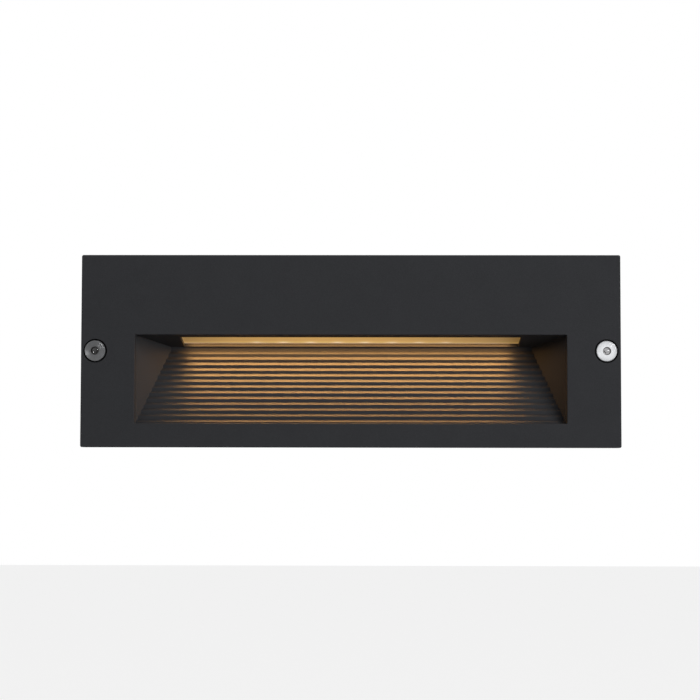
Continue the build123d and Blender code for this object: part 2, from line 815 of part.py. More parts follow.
with BuildPart() as driver_socket:
    with BuildSketch(front_plane(driver_front)):
        with Locations((plug_x, plug_z)):
            Rectangle(
                nose_width + 2 * (plug_play + socket_wall),
                nose_height + 2 * plug_play + socket_wall,
            )
    extrude(amount=socket_length)
    with BuildSketch(front_plane(socket_front)):
        with Locations((plug_x, plug_z)):
            RectangleRounded(nose_width + 2 * plug_play, nose_height + 2 * plug_play, plug_corner_r)
    extrude(amount=-(nose_length + plug_play), mode=Mode.SUBTRACT)
    with BuildSketch(front_plane(driver_front)):
        with Locations((plug_x, plug_z)):
            with GridLocations(pin_spread, 0, 2, 1):
                Circle(pin_r + screw_play)
    extrude(amount=socket_length, mode=Mode.SUBTRACT)
save(driver_socket.part, "driver_socket")

with BuildPart() as socket_pins:
    with BuildSketch(front_plane(driver_front)):
        with Locations((plug_x, plug_z)):
            with GridLocations(pin_spread, 0, 2, 1):
                Circle(pin_r)
    extrude(amount=socket_length - plug_play)
save(socket_pins.part, "socket_pins")

# ---- Terminal block: three poles one above the other, leads out of its right side ----------------
block_front = driver_back - block_depth
terminal_places = [(block_x + x, z) for x in (-terminal_spread / 2, terminal_spread / 2) for z in pole_levels]
with BuildPart() as terminal_block:
    with BuildSketch(front_plane(driver_back)):
        with Locations((block_x, block_z)):
            Rectangle(block_width, block_height)
    extrude(amount=block_depth)
    chamfer(terminal_block.faces().sort_by(Axis.Y)[0].edges().filter_by(Axis.Z), block_chamfer)
    with BuildSketch(front_plane(block_front)):
        with in_front(terminal_places):
            Circle(terminal_well_r)
    extrude(amount=-terminal_well_depth, mode=Mode.SUBTRACT)
    with BuildSketch(front_plane(driver_back)):
        with in_front(block_posts):
            Circle(m3_r + hole_play)
    extrude(amount=block_depth, mode=Mode.SUBTRACT)
    with BuildSketch(Plane(origin=(block_right, wiring_y, 0), x_dir=(0, 1, 0), z_dir=(1, 0, 0))):
        with Locations(*[(0, z) for z in pole_levels]):
            Circle(lead_entry_r)
    extrude(amount=-lead_entry_depth, mode=Mode.SUBTRACT)
save(terminal_block.part, "terminal_block")

with BuildPart() as terminal_screws:
    with BuildSketch(front_plane(block_front + terminal_well_depth)):
        with in_front(terminal_places):
            Circle(terminal_well_r - sheet_play)
    extrude(amount=terminal_well_depth / 2)
    with BuildSketch(front_plane(block_front + terminal_well_depth / 2)):
        with in_front(terminal_places):
            Rectangle(2 * terminal_well_r, terminal_slot)
    extrude(amount=-terminal_slot, mode=Mode.SUBTRACT)
save(terminal_screws.part, "terminal_screws")

save(
    screw_set(
        front_plane(block_front),
        block_posts,
        m3_head_r,
        m3_head_height,
        m3_r,
        block_depth + small_screw_bite,
        m3_drive,
    ),
    "block_screws",
)

# ---- Supply leads from the two lower poles to the driver's top, and the earth bond ----------------
supply_drop_x = driver_left + supply_inset
lead_start_x = block_right - lead_entry_depth + sheet_play
supply_lead_parts = [
    lead(
        [
            (lead_start_x, wiring_y, level),
            (drop_x, wiring_y, level),
            (drop_x, wiring_y, driver_top),
        ],
        lead_r,
    )
    for level, drop_x in zip(pole_levels, (supply_drop_x, supply_drop_x + lead_spread))
]
save(Compound(children=supply_lead_parts), "supply_leads")

barrel_start = earth_x - lug_r - lug_barrel_length
earth_lead_part = lead(
    [
        (lead_start_x, wiring_y, pole_levels[-1]),
        (barrel_start + lug_barrel_length / 2, wiring_y, pole_levels[-1]),
    ],
    lead_r,
)
save(earth_lead_part, "earth_lead")

barrel_plane = Plane(origin=(barrel_start, wiring_y, pole_levels[-1]), x_dir=(0, 1, 0), z_dir=(1, 0, 0))
with BuildPart() as earth_lug:
    with BuildSketch(front_plane(lug_back)):
        with in_front([earth_place]):
            Circle(lug_r)
        with in_front([(earth_x - lug_r / 2 - lug_barrel_r / 2, pole_levels[-1])]):
            Rectangle(lug_r + lug_barrel_r, 2 * lug_barrel_r)
    extrude(amount=lug_thickness)
    with BuildSketch(barrel_plane):
        Circle(lug_barrel_r)
    extrude(amount=lug_barrel_length)
    with BuildSketch(barrel_plane):
        Circle(lead_r + screw_play)
    extrude(amount=lug_barrel_length, mode=Mode.SUBTRACT)
    with BuildSketch(front_plane(lug_back)):
        with in_front([earth_place]):
            Circle(m4_r + hole_play)
    extrude(amount=lug_back - wiring_y + lug_barrel_r, mode=Mode.SUBTRACT)
save(earth_lug.part, "earth_lug")

save(
    screw_set(
        front_plane(lug_front),
        [earth_place],
        m4_head_r,
        m4_head_height,
        m4_r,
        lug_thickness + small_screw_bite,
        m4_drive,
    ),
    "earth_screw",
)

# ---- Cable entries: washers outside, locknuts inside -----------------------------------------------
entry_face = box_depth + entry_washer_thickness
with BuildPart() as entry_washers:
    with BuildSketch(front_plane(entry_face)):
        with in_front(entry_places):
            Circle(entry_washer_r)
            Circle(entry_r + entry_play, mode=Mode.SUBTRACT)
    extrude(amount=entry_washer_thickness)
save(entry_washers.part, "entry_washers")

with BuildPart() as entry_locknuts:
    with BuildSketch(front_plane(back_inside)):
        with in_front(entry_places):
            RegularPolygon(locknut_across / 2, 6, major_radius=False)
            Circle(entry_r + screw_play, mode=Mode.SUBTRACT)
    extrude(amount=locknut_thickness)
save(entry_locknuts.part, "entry_locknuts")

with BuildPart() as gland_body:
    with BuildSketch(front_plane(entry_face)):
        with Locations(entry_places[0]):
            Circle(entry_r)
    extrude(amount=entry_washer_thickness + box_wall + entry_reach)
    with BuildSketch(front_plane(entry_face)):
        with Locations(entry_places[0]):
            RegularPolygon(gland_across / 2, 6, major_radius=False)
    extrude(amount=-gland_hex_length)
    with BuildSketch(front_plane(entry_face + gland_hex_length)):
        with Locations(entry_places[0]):
            Circle(entry_r)
    extrude(amount=-gland_thread_length)
    gland_back = entry_face + gland_hex_length + gland_thread_length
    with BuildSketch(front_plane(gland_back)):
        with Locations(entry_places[0]):
            Circle(gland_bore_r)
    extrude(amount=seal_length, mode=Mode.SUBTRACT)
    with BuildSketch(front_plane(gland_back)):
        with Locations(entry_places[0]):
            Circle(cable_bore_r + cable_play)
    extrude(amount=gland_back - back_inside + entry_reach, mode=Mode.SUBTRACT)
save(gland_body.part, "gland_body")

with BuildPart() as gland_seal:
    with BuildSketch(front_plane(gland_back)):
        with Locations(entry_places[0]):
            Circle(gland_bore_r)
            Circle(cable_bore_r, mode=Mode.SUBTRACT)
    extrude(amount=seal_length)
save(gland_seal.part, "gland_seal")

# Domed nut: a hex skirt over the thread, then a dome down to the cable's mouth.
gland_nut_front = entry_face + gland_hex_length + gland_nut_gap
with BuildPart() as gland_nut:
    with BuildSketch(front_plane(gland_nut_front)):
        with Locations(entry_places[0]):
            RegularPolygon(gland_across / 2, 6, major_radius=False)
    extrude(amount=-gland_nut_skirt)
    with BuildSketch(Plane(origin=(-entry_x, gland_nut_front, entry_z))):
        with BuildLine():
            Polyline(
                (gland_dome_end_r, gland_nut_length),
                (0, gland_nut_length),
                (0, 0),
                (gland_dome_r, 0),
                (gland_dome_r, gland_nut_skirt),
            )
            SagittaArc(
                (gland_dome_r, gland_nut_skirt),
                (gland_dome_end_r, gland_nut_length),
                -gland_dome_bulge,
            )
        make_face()
    revolve(axis=Axis((-entry_x, 0, entry_z), (0, 1, 0)))
    with BuildSketch(front_plane(gland_nut_front)):
        with Locations(entry_places[0]):
            Circle(entry_r + screw_play)
    extrude(amount=gland_nut_front - gland_back, mode=Mode.SUBTRACT)
    with BuildSketch(front_plane(gland_nut_front)):
        with Locations(entry_places[0]):
            Circle(gland_mouth_r)
    extrude(amount=-gland_nut_length, mode=Mode.SUBTRACT)
save(gland_nut.part, "gland_nut")

with BuildPart() as entry_plug:
    with BuildSketch(front_plane(entry_face)):
        with Locations(entry_places[1]):
            Circle(entry_r)
    extrude(amount=entry_washer_thickness + box_wall + entry_reach)
    with BuildSketch(front_plane(entry_face)):
        with Locations(entry_places[1]):
            Circle(entry_plug_head_r)
    extrude(amount=-entry_plug_head)
    chamfer(entry_plug.faces().sort_by(Axis.Y)[-1].edges(), entry_plug_chamfer)
    with BuildSketch(front_plane(entry_face + entry_plug_head)):
        with Locations(entry_places[1]):
            RegularPolygon(entry_plug_drive / 2, 6, major_radius=False)
    extrude(amount=entry_plug_drive_depth, mode=Mode.SUBTRACT)
    with BuildSketch(front_plane(back_inside - entry_reach)):
        with Locations(entry_places[1]):
            Circle(entry_r - entry_plug_wall)
    extrude(amount=-(entry_reach + box_wall), mode=Mode.SUBTRACT)
save(entry_plug.part, "entry_plug")
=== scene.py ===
import json
import math
import bpy
import numpy as np
from mathutils import Matrix, Vector


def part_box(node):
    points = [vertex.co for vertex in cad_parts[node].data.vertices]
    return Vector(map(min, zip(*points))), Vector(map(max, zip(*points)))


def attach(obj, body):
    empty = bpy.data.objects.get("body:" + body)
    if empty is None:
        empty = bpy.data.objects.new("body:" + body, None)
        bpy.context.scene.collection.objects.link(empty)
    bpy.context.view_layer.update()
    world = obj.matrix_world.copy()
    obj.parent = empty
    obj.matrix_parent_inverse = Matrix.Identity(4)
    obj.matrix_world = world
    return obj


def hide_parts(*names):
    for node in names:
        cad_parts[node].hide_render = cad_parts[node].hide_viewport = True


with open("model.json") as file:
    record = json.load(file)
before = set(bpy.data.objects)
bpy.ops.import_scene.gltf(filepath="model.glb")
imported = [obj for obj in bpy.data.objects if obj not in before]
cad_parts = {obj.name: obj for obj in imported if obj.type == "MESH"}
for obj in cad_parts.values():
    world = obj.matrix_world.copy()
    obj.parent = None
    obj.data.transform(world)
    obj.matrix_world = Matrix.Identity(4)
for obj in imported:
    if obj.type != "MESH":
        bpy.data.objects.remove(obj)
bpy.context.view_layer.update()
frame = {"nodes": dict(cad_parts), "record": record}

# A recessed step light, seen from the front and a little below. Lengths are in metres, angles in
# radians and powers in watts, unless a comment says otherwise.
MM = 0.001
WHITE = (1.0, 1.0, 1.0, 1.0)

# ---- The camera, from the plate's corners and the light well's edges in the photograph -----------
CAMERA_PLACE = (9.9 * MM, -861.5 * MM, -51.1 * MM)
CAMERA_PITCH = 0.0604
CAMERA_YAW = 0.0119
CAMERA_ROLL = 0.00175
CAMERA_LENS = 96.8          # in millimetres, as is the sensor's width
SENSOR_WIDTH = 36.0

# ---- The studio ----------------------------------------------------------------------------------
FLOOR_LEVEL = -0.42
FLOOR_HALF = 6.0
FLOOR_DIM = 0.25            # half the band over which the mirrored floor brightens
FLOOR_COLOR = (0.32, 0.32, 0.32, 1.0)
FLOOR_MIRRORED = 0.3        # the share of the floor's colour that metal mirrors
FLOOR_LIFT = 0.80           # the white background's share of what is seen on the floor
FLOOR_ROUGHNESS = 0.9
FLOOR_SPECULAR = 0.1
STUDIO_FRONT = 0.17         # the dim room that metal mirrors, in front of the object
STUDIO_BAND = (-0.25, 0.2)  # how far back a direction points where that room ends and white begins
AMBIENT_FRONT = 0.01        # the world's level for the object itself, from the front
AMBIENT_BACK = 0.35         # and from behind it
AMBIENT_BAND = (-0.1, 0.3)
SOFTBOXES = {
    "key_softbox": dict(stand=(0.62, -1.15, 0.85), size=0.6, power=8.9),
    "side_softbox": dict(stand=(1.30, -1.60, 0.10), size=0.9, power=28.5),
    "fill_softbox": dict(stand=(-1.15, -1.70, 0.85), size=0.9, power=6.6),
}
SCREW_BOX_SIZE = 0.84       # the softbox that only the right screw mirrors
SCREW_BOX_REACH = 0.30
SCREW_BOX_POWER = 2.9
GLINT_SIZE = 0.06           # the small lamps that the sockets' drilled cones mirror
GLINT_REACH = 1.4
GLINT_POWERS = {38: 0.50, 200: 0.60}    # by the way that the cone's side faces, in degrees from the
                                        # right upwards

# ---- The light engine's glow ---------------------------------------------------------------------
GLOW_COLOR = (1.0, 0.50, 0.155)
GLOW_HALF = 75.0 * MM
GLOW_ASIDE = -1.0 * MM      # the row lies a little left of the middle
LED_LAMPS = {
    # The beam below the LEDs, and what the frosting scatters all round. back is behind the lens's
    # middle, and drop below the lens.
    "led_beam": dict(
        depth=13.0 * MM, back=2.6 * MM, drop=0.15 * MM, power=0.047, spread=math.radians(62)
    ),
    "led_halo": dict(
        depth=5.0 * MM, back=6.0 * MM, drop=0.25 * MM, power=0.043, spread=math.radians(172)
    ),
}
LENS_DOWN = -0.9            # a face of the lens whose normal's Z is under this faces the well
LED_PITCH = 12.7 * MM
LED_HALF_ROW = 50.8 * MM
ROW_END = 2.0               # the spots fade out over one pitch divided by this
LINE_BACK = 8.2 * MM        # the bright line along the lens lies behind the LEDs
LINE_HALF = 1.6 * MM
SPOT_HALF = 2.3 * MM
# The lens's body colour is darkened and tinted warm as painted light, so the lit lens reads in its
# glow's colour.
LENS_BODY_PAINTED_WARM = (0.55, 0.45, 0.30, 1.0)
# Painted glows for the lens, its bright line and its LED spots; the lens itself is no lamp.
LENS_GLOW = (0.40, 0.225, 0.052, 1.0)
LINE_GLOW = (0.66, 0.42, 0.11, 1.0)
SPOT_GLOW = (1.0, 0.80, 0.55, 1.0)
SEAL_GLOW = (0.24, 0.13, 0.035, 1.0)
PHOSPHOR_GLOW = (1.0, 0.72, 0.34, 1.0)
PHOSPHOR_STRENGTH = 1.2
LENS_FADE = 100.0           # the glow falls by this times the squared distance from the middle
LENS_SLANT = -2.2           # and changes by this times the distance to the right
STREAK = 0.35 * MM
STREAK_STRETCH = 0.015      # a streak is as long as its width divided by this
STREAK_LEVEL = 0.85         # the glow where the streak noise is nought
STREAK_SWING = 0.3          # and what the noise adds to it

# ---- The coat and the leads ----------------------------------------------------------------------
COAT_COLOR = (0.0290, 0.0298, 0.0325, 1.0)
BLACK_SHEATH = (0.02, 0.02, 0.022, 1.0)
BLUE_SHEATH = (0.02, 0.07, 0.30, 1.0)
BLUE_REACH = 4.9 * MM       # the blue lead lies within this of the pair's top and right side
YELLOW_STRIPE = (0.70, 0.52, 0.03, 1.0)
STRIPE_COUNT = 2.0          # stripes round the earth lead
STRIPE_WIND = 420.0         # what the stripes' sine gains along the lead, in radians to the metre
STRIPE_EDGE = 0.25          # the sine above which it is yellow

# ---- The face screws: M5 button heads ------------------------------------------------------------
SCREW_COLOR = (0.555, 0.565, 0.58, 1.0)
# The drilled cone's steel is darker than the head's: painted shade for the bottom of the socket.
DRILLED_SHADE_COLOR = (0.26, 0.26, 0.265, 1.0)
# The socket's walls are painted near black, as shade deep in the hexagon recess.
SOCKET_SHADE_COLOR = (0.09, 0.085, 0.085, 1.0)
SCREW_R = 2.5 * MM
SCREW_HEAD = 2.75 * MM
SCREW_CROWN_R = 10.2 * MM   # the head's front is part of a sphere
SCREW_FLAT = 2.25 * MM
SCREW_RIM = 0.35 * MM       # rounding round the crown
SCREW_EDGE = 0.06 * MM      # bevel of the head's rear edge
SCREW_FILLET_OUT = 0.25 * MM    # the small cone from the head's seat to the shank
SCREW_FILLET_DOWN = 0.18 * MM
SCREW_SOCKET = 3.0 * MM
SCREW_SOCKET_DEPTH = 1.6 * MM
SCREW_DRILL_CONE = 0.66 * MM    # how far the drilled cone goes on below the socket
SCREW_DRILL_R = 0.97 * SCREW_SOCKET / 2
CONE_SHARES = (0.2, 0.5, 0.8)   # the cone's rings, as shares of its width from the middle
# The socket's rings, as shares of the walls' height and of the hexagon's width.
WALL_RINGS = ((0.0, 0.985), (0.04, 1.0), (0.5, 1.0), (0.9, 1.0), (1.0, 1.0))
SCREW_MOUTH = 0.12 * MM     # chamfer of the socket's mouth
MOUTH_SHARES = (0.5, 0.9, 1.0)
MOUTH_LAND = 0.15 * MM      # the first ring of the flat lies this far out from the mouth
SCREW_POINT = 0.5 * MM
SCREW_SHARP = math.radians(28)  # an edge that bends more than this is drawn sharp
THREAD_PITCH = 0.8 * MM
THREAD_DEPTH = 0.45 * MM
THREAD_START = 0.9 * MM     # plain neck under the head
THREAD_END = 0.02 * MM      # the last ring lies at least this far from the tip
THREAD_RUNOUT = 1.2 * MM
THREAD_STEPS = 12           # rings in one pitch
GROOVE_PEAK = 1.6           # the groove's triangle wave before it is cut off between nought and one
GROOVE_SLOPE = 3.4
SCREW_ANGLES = 72
CROWN_RINGS = 10
RIM_RINGS = 6

nodes = frame["nodes"]
record = frame["record"]
slot_of = {part["node"]: part["material_slot"] for part in record["subparts"]}
slot_color = {m["slot"]: tuple(m["base_color"][:3]) + (1.0,) for m in record["materials"]}


# ---- Node helpers --------------------------------------------------------------------------------
def fill(tree, node, inputs):
    """Gives each of the node's inputs a value, or links it from a socket."""
    for key, value in inputs.items():
        if isinstance(value, bpy.types.NodeSocket):
            tree.links.new(value, node.inputs[key])
        else:
            node.inputs[key].default_value = value
    return node


def add(tree, kind, inputs=None, **settings):
    """One shader node with its settings and its inputs."""
    made = tree.nodes.new("ShaderNode" + kind)
    for name, value in settings.items():
        setattr(made, name, value)
    return fill(tree, made, inputs or {})


def maths(tree, operation, *values, clamp=False):
    """The result socket of one Math node."""
    inputs = dict(enumerate(values))
    return add(tree, "Math", inputs, operation=operation, use_clamp=clamp).outputs[0]


def scaled(tree, vector, factor):
    """A colour or vector times a number."""
    return add(tree, "VectorMath", {0: vector, "Scale": factor}, operation="SCALE").outputs[0]


def mixed(tree, factor, first, second):
    """The first colour where the factor is nought, and the second where it is one."""
    inputs = {"Factor": factor, "A": first, "B": second}
    return add(tree, "Mix", inputs, data_type="RGBA").outputs["Result"]


def noise(tree, vector, scale, detail):
    """The value of a noise with this many features to the metre."""
    return add(tree, "TexNoise", {"Vector": vector, "Scale": scale, "Detail": detail}).outputs[0]


def smooth_step(tree, value, band, low, high):
    """Goes smoothly from the low to the high level as the value crosses the band."""
    inputs = {
        "Value": value, "From Min": band[0], "From Max": band[1], "To Min": low, "To Max": high
    }
    return add(tree, "MapRange", inputs, interpolation_type="SMOOTHSTEP").outputs[0]


def own_place(tree):
    """Where a point lies on its piece."""
    return add(tree, "TexCoord").outputs["Object"]


def stretched(tree, vector, share):
    """A place whose X is shortened to this share, which draws a pattern out along X."""
    return add(tree, "Mapping", {"Vector": vector, "Scale": (share, 1.0, 1.0)}).outputs[0]


def split(tree, vector):
    """A vector's X, Y and Z."""
    return add(tree, "SeparateXYZ", {0: vector}).outputs


# ---- Effects that several finishes share ---------------------------------------------------------
def new_effect(name, floats, vectors=()):
    """An empty node group for an effect, and the sockets of what it is given.

    Every effect is given a colour, a depth, a roughness and its own values, and puts out a colour,
    a roughness and a normal.
    """
    tree = bpy.data.node_groups.new(name, "ShaderNodeTree")
    sockets = [(label, "INPUT", "Vector") for label in vectors]
    sockets += [("Color", "INPUT", "Color")]
    sockets += [(label, "INPUT", "Float") for label in (*floats, "Depth", "Roughness")]
    sockets += [("Color", "OUTPUT", "Color"), ("Roughness", "OUTPUT", "Float")]
    sockets += [("Normal", "OUTPUT", "Vector")]
    for label, way, kind in sockets:
        tree.interface.new_socket(label, in_out=way, socket_type="NodeSocket" + kind)
    return tree, tree.nodes.new("NodeGroupInput").outputs


def put_out(tree, given, height, swing, polish):
    """Ends an effect: the swing brightens its colour, the polish lowers its roughness, and the
    height bends its normal."""
    color = scaled(tree, given["Color"], maths(tree, "ADD", 1.0, swing))
    bump = add(tree, "Bump", {"Height": height, "Distance": given["Depth"], "Strength": 1.0})
    rough = maths(tree, "SUBTRACT", given["Roughness"], polish, clamp=True)
    out = tree.nodes.new("NodeGroupOutput")
    fill(tree, out, {"Color": color, "Roughness": rough, "Normal": bump.outputs[0]})
    return tree


def make_grain():
    """Grainy skin of paint, castings, rubber, moulded plastic and pressed metal.

    The height is a noise of the grain's size, less a smooth cell pattern that is somewhat finer.
    The colour follows the height, and a slow noise many grains wide shifts colour and roughness,
    as handling and flow marks do.
    """
    tree, given = new_effect("grainy_skin", ("Grain", "Speckle", "Mottle"))
    where = own_place(tree)
    frequency = maths(tree, "DIVIDE", 1.0, given["Grain"])
    coarse = noise(tree, where, frequency, 2.0)
    fine = add(
        tree,
        "TexVoronoi",
        {"Vector": where, "Scale": maths(tree, "MULTIPLY", frequency, 1.7), "Smoothness": 0.6},
        feature="SMOOTH_F1",
    ).outputs["Distance"]
    slow = noise(tree, where, maths(tree, "MULTIPLY", frequency, 0.035), 3.0)
    bumps = maths(tree, "MULTIPLY", coarse, 1.2)
    height = maths(tree, "SUBTRACT", bumps, maths(tree, "MULTIPLY", fine, 0.8))
    lifted = maths(tree, "SUBTRACT", height, 0.2)
    speckle = maths(tree, "MULTIPLY", lifted, given["Speckle"])
    mottle = maths(tree, "MULTIPLY", maths(tree, "SUBTRACT", slow, 0.5), given["Mottle"])
    swing = maths(tree, "ADD", speckle, mottle)
    return put_out(tree, given, height, swing, maths(tree, "MULTIPLY", mottle, 0.5))


def make_turning():
    """Lathe marks: fine rings round an axis along Y, with scuffs a millimetre wide over them.

    Vector is the point measured from the axis. The distance from the axis plus the way along it, in
    ring widths, drives a one-dimensional noise, so every ring has its own height and shade.
    """
    tree, given = new_effect("lathe_marks", ("Ring", "Contrast"), vectors=("Vector",))
    where = split(tree, given["Vector"])
    squares = [maths(tree, "MULTIPLY", where[axis], where[axis]) for axis in ("X", "Z")]
    radius = maths(tree, "SQRT", maths(tree, "ADD", *squares))
    rings = maths(tree, "DIVIDE", maths(tree, "ADD", radius, where["Y"]), given["Ring"])
    marks = add(
        tree, "TexNoise", {"W": rings, "Scale": 1.0, "Detail": 3.0}, noise_dimensions="1D"
    ).outputs[0]
    scuffs = maths(tree, "MULTIPLY", noise(tree, given["Vector"], 1.0 / (1.1 * MM), 3.0), 0.6)
    shade = maths(tree, "SUBTRACT", maths(tree, "ADD", marks, scuffs), 0.8)
    swing = maths(tree, "MULTIPLY", shade, given["Contrast"])
    return put_out(tree, given, marks, swing, maths(tree, "MULTIPLY", swing, 0.4))


def make_drawing():
    """Die lines of drawn and extruded metal: noise stretched fifty times along X."""
    tree, given = new_effect("die_lines", ("Line", "Contrast"))
    frequency = maths(tree, "DIVIDE", 1.0, given["Line"])
    lines = noise(tree, stretched(tree, own_place(tree), 0.02), frequency, 3.0)
    shade = maths(tree, "SUBTRACT", lines, 0.5)
    swing = maths(tree, "MULTIPLY", shade, given["Contrast"])
    return put_out(tree, given, lines, swing, maths(tree, "MULTIPLY", swing, 0.5))


grainy_skin = make_grain()
lathe_marks = make_turning()
die_lines = make_drawing()


# ---- Finishes ------------------------------------------------------------------------------------
def blank(name):
    """A new material with a Principled shader."""
    material = bpy.data.materials.new(name)
    material.use_nodes = True
    return material


def shader_of(material):
    """A material's Principled shader."""
    return material.node_tree.nodes["Principled BSDF"]


def wear(material, effect, inputs):
    """Gives a material an effect with its own values, joined to the shader."""
    tree, shader = material.node_tree, shader_of(material)
    made = add(tree, "Group", inputs, node_tree=effect)
    made.name = "effect"
    fill(tree, shader, {
        "Base Color": made.outputs["Color"],
        "Roughness": made.outputs["Roughness"],
        "Normal": made.outputs["Normal"],
    })


def shine(material, color, strength):
    """Makes a material glow with a colour, or with what a socket gives."""
    inputs = {"Emission Color": color, "Emission Strength": strength}
    fill(material.node_tree, shader_of(material), inputs)


def skin(
    name, grain, depth, speckle, mottle, roughness, specular=0.5, metallic=0.0, color=None
):
    """A finish with the grainy skin, in its slot's colour unless another is given."""
    material = blank(name)
    wear(material, grainy_skin, {
        "Color": color or slot_color[name],
        "Grain": grain,
        "Depth": depth,
        "Speckle": speckle,
        "Mottle": mottle,
        "Roughness": roughness,
    })
    inputs = {"Specular IOR Level": specular, "Metallic": metallic}
    fill(material.node_tree, shader_of(material), inputs)
    return material


def turned(name, color, centre, ring, contrast, roughness):
    """Turned metal, with lathe marks round an axis along Y through the centre."""
    material = blank(name)
    tree = material.node_tree
    to_axis = {"Vector": own_place(tree), "Location": tuple(-c for c in centre)}
    wear(material, lathe_marks, {
        "Vector": add(tree, "Mapping", to_axis).outputs[0],
        "Color": color,
        "Ring": ring,
        "Depth": 0.06 * ring,
        "Contrast": contrast,
        "Roughness": roughness,
    })
    shader_of(material).inputs["Metallic"].default_value = 1.0
    return material


def drawn(name, line, contrast, roughness):
    """Drawn or extruded metal with die lines along X."""
    material = blank(name)
    wear(material, die_lines, {
        "Color": slot_color[name],
        "Line": line,
        "Depth": 0.04 * line,
        "Contrast": contrast,
        "Roughness": roughness,
    })
    shader_of(material).inputs["Metallic"].default_value = 1.0
    return material


def two_tone(name, mask_of, second, roughness):
    """A sheath whose second colour shows where the mask, worked out from the place, is positive."""
    material = skin(
        name, grain=0.3 * MM, depth=0.006 * MM, speckle=0.08, mottle=0.1, roughness=roughness
    )
    tree = material.node_tree
    mask = maths(tree, "GREATER_THAN", mask_of(tree, split(tree, own_place(tree))), 0.0)
    color = mixed(tree, mask, slot_color[name], second)
    fill(tree, tree.nodes["effect"], {"Color": color})
    return material


# ---- Every finish: most are named after their slot in the record ---------------------------------
def make_powder_coat(name, depth, speckle, mottle):
    """Fine-texture charcoal powder coat: a dull, faintly speckled skin."""
    return skin(
        name, grain=0.42 * MM, depth=depth, speckle=speckle, mottle=mottle, roughness=0.68,
        specular=0.25, color=COAT_COLOR,
    )


def make_frosted_lens():
    """Frosted strip with the LEDs' light from above as a painted glow: fine streaks, a brighter
    line, and on it a spot for each LED.

    The line and the spots are bells, the exponent of minus the squared distance. The glow falls
    with the squared distance from the middle, and is a little stronger on the left.
    """
    material = skin(
        "frosted_lens", grain=0.25 * MM, depth=0.01 * MM, speckle=0.05, mottle=0.04,
        roughness=0.42, color=LENS_BODY_PAINTED_WARM,
    )
    tree = material.node_tree
    here = own_place(tree)
    where = split(tree, here)
    low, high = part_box("led_chips")

    def times(first, second):
        return maths(tree, "MULTIPLY", first, second)

    def bell(distance, half):
        square = times(distance, distance)
        return maths(tree, "EXPONENT", maths(tree, "DIVIDE", square, -half * half))

    across = maths(tree, "ABSOLUTE", where["X"])
    behind = maths(tree, "SUBTRACT", where["Y"], (low.y + high.y) / 2 + LINE_BACK)
    cell = maths(tree, "SUBTRACT", maths(tree, "MODULO", across, LED_PITCH), LED_PITCH / 2)
    line = bell(behind, LINE_HALF)
    row = maths(tree, "DIVIDE", maths(tree, "SUBTRACT", LED_HALF_ROW, across), LED_PITCH)
    in_row = maths(tree, "MULTIPLY", row, ROW_END, clamp=True)
    spot = times(times(bell(cell, SPOT_HALF), line), in_row)
    fall = maths(tree, "SUBTRACT", 1.0, times(times(across, across), LENS_FADE))
    slant = maths(tree, "ADD", 1.0, times(where["X"], LENS_SLANT))
    streaks = noise(tree, stretched(tree, here, STREAK_STRETCH), 1.0 / STREAK, 2.0)
    level = maths(tree, "ADD", STREAK_LEVEL, times(streaks, STREAK_SWING))
    shade = times(times(fall, slant), level)
    glow = mixed(tree, spot, mixed(tree, line, LENS_GLOW, LINE_GLOW), SPOT_GLOW)
    shine(material, scaled(tree, glow, shade), 1.0)
    return material


def make_lit_silicone():
    """The lens's clear gasket, with a painted glow for the LED light that it carries."""
    look = SKINS["grey_silicone"]
    material = skin("lit_silicone", color=slot_color["grey_silicone"], **look)
    shine(material, SEAL_GLOW, 1.0)
    return material


def make_led_phosphor():
    """Lit phosphor over each chip."""
    material = skin(
        "led_phosphor", grain=0.2 * MM, depth=0.01 * MM, speckle=0.15, mottle=0.1, roughness=0.5
    )
    shine(material, PHOSPHOR_GLOW, PHOSPHOR_STRENGTH)
    return material


def make_led_lead_sheath():
    """The left one of the two leads is red, the right one black."""
    low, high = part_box("led_leads")
    middle = (low.x + high.x) / 2

    def right_one(tree, where):
        return maths(tree, "SUBTRACT", where["X"], middle)

    return two_tone("led_lead_sheath", right_one, BLACK_SHEATH, roughness=0.45)


def make_supply_lead_sheath():
    """One lead brown, the other blue: the blue one lies above and to the right of the brown one."""
    _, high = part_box("supply_leads")

    def outer_one(tree, where):
        right = maths(tree, "SUBTRACT", where["X"], high.x - BLUE_REACH)
        above = maths(tree, "SUBTRACT", where["Z"], high.z - BLUE_REACH)
        return maths(tree, "MAXIMUM", right, above)

    return two_tone("supply_lead_sheath", outer_one, BLUE_SHEATH, roughness=0.4)


def make_earth_lead_sheath():
    """Green with yellow stripes that wind slowly round the lead."""
    low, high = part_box("earth_lead")
    y, z = (low.y + high.y) / 2, (low.z + high.z) / 2

    def stripe(tree, where):
        up = maths(tree, "SUBTRACT", where["Z"], z)
        back = maths(tree, "SUBTRACT", where["Y"], y)
        turn = maths(tree, "MULTIPLY", maths(tree, "ARCTAN2", up, back), STRIPE_COUNT)
        wound = maths(tree, "ADD", turn, maths(tree, "MULTIPLY", where["X"], STRIPE_WIND))
        return maths(tree, "SUBTRACT", maths(tree, "SINE", wound), STRIPE_EDGE)

    return two_tone("earth_lead_sheath", stripe, YELLOW_STRIPE, roughness=0.42)


